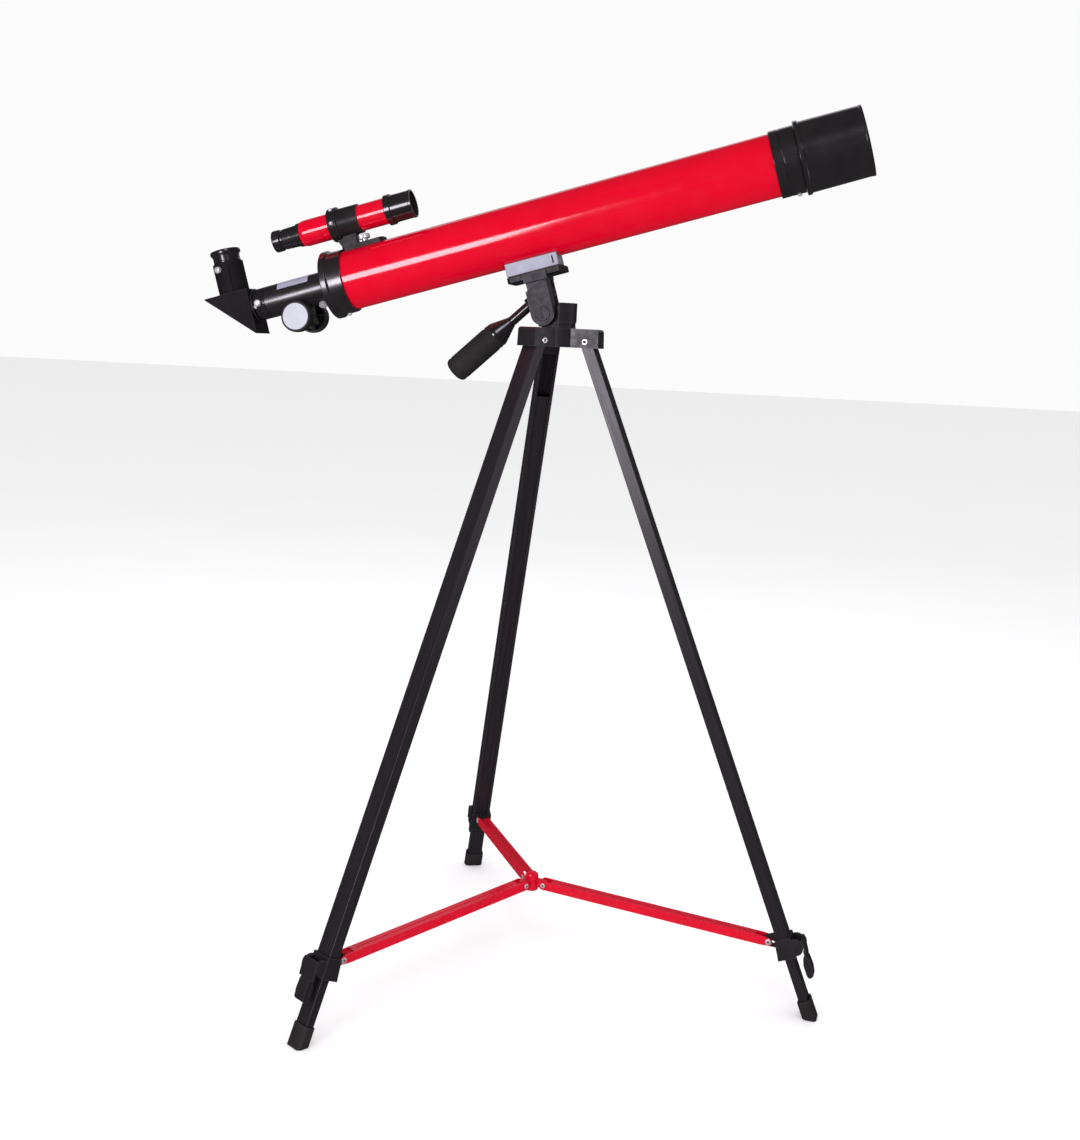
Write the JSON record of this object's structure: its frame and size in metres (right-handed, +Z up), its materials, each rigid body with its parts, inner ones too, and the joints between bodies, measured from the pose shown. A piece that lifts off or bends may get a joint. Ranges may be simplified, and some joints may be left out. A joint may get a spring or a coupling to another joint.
{
  "type": "refracting telescope on tripod",
  "caption": "Small refracting telescope with a mirror diagonal and a finder scope, on a pan and tilt head and a folding tripod with sliding leg sections.",
  "frame": {"origin": "on the floor, under the middle of the bounding box", "axes": "+Z up, +X the horizontal heading of the tube, +Y to the left of it"},
  "size_m": [0.6604, 0.5062, 0.8627],
  "materials": {
    "red_paint": "high gloss",
    "red_plastic": "gloss",
    "black_gloss": "gloss",
    "black_satin": "satin",
    "black_tube": "satin, with fine lengthwise drawing lines",
    "rubber": "matt",
    "silver": "satin",
    "steel": "turned",
    "bright_metal": "polished",
    "glass": "coated",
    "mirror": "polished"
  },
  "bodies": {
    "tripod": {"crown": "black_satin", "leg_rivet_1": "bright_metal", "leg_rivet_2": "bright_metal", "leg_rivet_3": "bright_metal"},
    "pan_turntable": {"pan_base": "black_satin", "tilt_bolt": "black_satin"},
    "telescope": {"tilt_body": "black_satin", "head_platform": "black_satin", "tube_saddle": "silver", "main_tube": "red_paint", "objective_cell": "black_gloss", "dew_shield": "black_gloss", "objective_lens": "glass", "rear_collar": "black_gloss", "focuser_housing": "black_gloss", "finder_bracket": "black_gloss", "finder_tube": "red_paint", "finder_front_cell": "black_gloss", "finder_lens": "glass"},
    "handle": {"handle_rod": "black_satin", "handle_grip": "rubber"},
    "draw": {"draw_tube": "black_gloss"},
    "focus_drive": {"pinion_shaft": "steel", "focus_knob_near": "black_satin", "focus_knob_far": "black_satin"},
    "focus_lock": {"focus_lock_screw": "bright_metal"},
    "diagonal": {"diagonal_housing": "black_satin", "diagonal_mirror": "mirror", "diagonal_nose": "black_satin"},
    "nose_clamp_screw": {"nose_screw": "bright_metal"},
    "eyepiece": {"eyepiece_barrel": "black_gloss", "eye_lens": "glass"},
    "eyepiece_clamp_screw": {"eyepiece_screw": "bright_metal"},
    "finder_ocular": {"finder_eyepiece": "black_gloss"},
    "bracket_thumb_nut": {"bracket_nut": "bright_metal"},
    "hub": {"spreader_hub": "red_plastic"},
    "leg_1": {"upper_leg_1": "black_tube", "leg_clamp_1": "black_satin"},
    "lower_leg_1": {"lower_leg_1": "black_tube", "foot_1": "rubber"},
    "lever_1": {"clamp_lever_1": "black_satin"},
    "arm_1": {"spreader_arm_1": "red_plastic", "hub_rivet_1": "bright_metal", "knee_rivet_1": "bright_metal"},
    "leg_2": {"upper_leg_2": "black_tube", "leg_clamp_2": "black_satin"},
    "lower_leg_2": {"lower_leg_2": "black_tube", "foot_2": "rubber"},
    "lever_2": {"clamp_lever_2": "black_satin"},
    "arm_2": {"spreader_arm_2": "red_plastic", "hub_rivet_2": "bright_metal", "knee_rivet_2": "bright_metal"},
    "leg_3": {"upper_leg_3": "black_tube", "leg_clamp_3": "black_satin"},
    "lower_leg_3": {"lower_leg_3": "black_tube", "foot_3": "rubber"},
    "lever_3": {"clamp_lever_3": "black_satin"},
    "arm_3": {"spreader_arm_3": "red_plastic", "hub_rivet_3": "bright_metal", "knee_rivet_3": "bright_metal"}
  },
  "joints": [
    {"name": "pan", "type": "hinge", "parent": "tripod", "child": "pan_turntable", "pos_m": [0.03937, -0.01108, 0.6463], "axis": [0, 0, 1], "continuous": true},
    {"name": "tilt", "type": "hinge", "parent": "pan_turntable", "child": "telescope", "pos_m": [0.02541, -0.01108, 0.65994], "axis": [0, 1, 0], "range_deg": [-34, 21]},
    {"name": "handle_twist", "type": "hinge", "parent": "telescope", "child": "handle", "pos_m": [0.01429, -0.01108, 0.67186], "axis": [-0.7314, 0, -0.682], "continuous": true},
    {"name": "draw_slide", "type": "slide", "parent": "telescope", "child": "draw", "axis": [-0.96, 0, -0.2798], "range_m": [0, 0.045]},
    {"name": "focus_turn", "type": "hinge", "parent": "telescope", "child": "focus_drive", "pos_m": [-0.22414, -0.01108, 0.64699], "axis": [0, 1, 0], "range_deg": [-311, 0]},
    {"name": "focus_lock_turn", "type": "hinge", "parent": "telescope", "child": "focus_lock", "pos_m": [-0.20717, -0.01108, 0.67704], "axis": [0.2541, -0.4191, -0.8717], "continuous": true},
    {"name": "diagonal_turn", "type": "hinge", "parent": "draw", "child": "diagonal", "pos_m": [-0.29761, -0.01108, 0.65068], "axis": [-0.96, 0, -0.2798], "continuous": true},
    {"name": "nose_screw_turn", "type": "hinge", "parent": "draw", "child": "nose_clamp_screw", "pos_m": [-0.26948, -0.01108, 0.65888], "axis": [0, -1, 0], "continuous": true},
    {"name": "eyepiece_slide", "type": "slide", "parent": "diagonal", "child": "eyepiece", "axis": [-0.2798, 0, 0.96], "range_m": [0, 0.025]},
    {"name": "eyepiece_screw_turn", "type": "hinge", "parent": "diagonal", "child": "eyepiece_clamp_screw", "pos_m": [-0.30972, -0.01108, 0.69225], "axis": [-0.2688, -0.96, -0.0784], "continuous": true},
    {"name": "bracket_nut_turn", "type": "hinge", "parent": "telescope", "child": "bracket_thumb_nut", "pos_m": [-0.16287, -0.01108, 0.72516], "axis": [-0.2798, 0, 0.96], "continuous": true},
    {"name": "finder_focus", "type": "slide", "parent": "telescope", "child": "finder_ocular", "axis": [-0.96, 0, -0.2798], "range_m": [0, 0.005]},
    {"name": "leg_1_fold", "type": "hinge", "parent": "tripod", "child": "leg_1", "pos_m": [0.06941, -0.0135, 0.6339], "axis": [0.0802, 0.9968, 0], "range_deg": [0, 2.7]},
    {"name": "leg_1_extend", "type": "slide", "parent": "leg_1", "child": "lower_leg_1", "axis": [0.3683, -0.0296, -0.9292], "range_m": [0, 0.4]},
    {"name": "lever_1_open", "type": "hinge", "parent": "leg_1", "child": "lever_1", "pos_m": [0.30324, -0.03231, 0.06911], "axis": [-0.0802, -0.9968, 0], "range_deg": [0, 55]},
    {"name": "leg_2_fold", "type": "hinge", "parent": "tripod", "child": "leg_2", "pos_m": [0.02225, -0.03589, 0.6339], "axis": [0.8231, -0.5678, 0], "range_deg": [0, 2.7]},
    {"name": "leg_2_extend", "type": "slide", "parent": "leg_2", "child": "lower_leg_2", "axis": [-0.2098, -0.3041, -0.9292], "range_m": [0, 0.4]},
    {"name": "lever_2_open", "type": "hinge", "parent": "leg_2", "child": "lever_2", "pos_m": [-0.11095, -0.22899, 0.06911], "axis": [-0.8231, 0.5678, 0], "range_deg": [0, 55]},
    {"name": "leg_3_fold", "type": "hinge", "parent": "tripod", "child": "leg_3", "pos_m": [0.02644, 0.01615, 0.6339], "axis": [-0.9033, -0.4289, 0], "range_deg": [0, 2.7]},
    {"name": "leg_3_extend", "type": "slide", "parent": "leg_3", "child": "lower_leg_3", "axis": [-0.1585, 0.3338, -0.9292], "range_m": [0, 0.4]},
    {"name": "lever_3_open", "type": "hinge", "parent": "leg_3", "child": "lever_3", "pos_m": [-0.07418, 0.22806, 0.06911], "axis": [0.9033, 0.4289, 0], "range_deg": [0, 55]},
    {"name": "spreader_lift", "type": "slide", "parent": "tripod", "child": "hub", "axis": [0, 0, 1], "range_m": [-0.001, 0.0818]},
    {"name": "arm_1_fold", "type": "hinge", "parent": "hub", "child": "arm_1", "pos_m": [0.05263, -0.01215, 0.0871], "axis": [0.0802, 0.9968, 0], "range_deg": [-0.5, 24.44]},
    {"name": "arm_2_fold", "type": "hinge", "parent": "hub", "child": "arm_2", "pos_m": [0.03182, -0.02203, 0.0871], "axis": [0.8231, -0.5678, 0], "range_deg": [-0.5, 24.44]},
    {"name": "arm_3_fold", "type": "hinge", "parent": "hub", "child": "arm_3", "pos_m": [0.03366, 0.00093, 0.0871], "axis": [-0.9033, -0.4289, 0], "range_deg": [-0.5, 24.44]}
  ],
  "couplings": [
    {"joint": "leg_2_fold", "follows": "leg_1_fold", "ratio": 1},
    {"joint": "leg_3_fold", "follows": "leg_1_fold", "ratio": 1},
    {"joint": "spreader_lift", "follows": "leg_1_fold", "m_per_rad": 1.715},
    {"joint": "arm_1_fold", "follows": "leg_1_fold", "ratio": 8.8685},
    {"joint": "arm_2_fold", "follows": "leg_1_fold", "ratio": 8.8685},
    {"joint": "arm_3_fold", "follows": "leg_1_fold", "ratio": 8.8685},
    {"joint": "focus_turn", "follows": "draw_slide", "rad_per_m": -120.48}
  ]
}
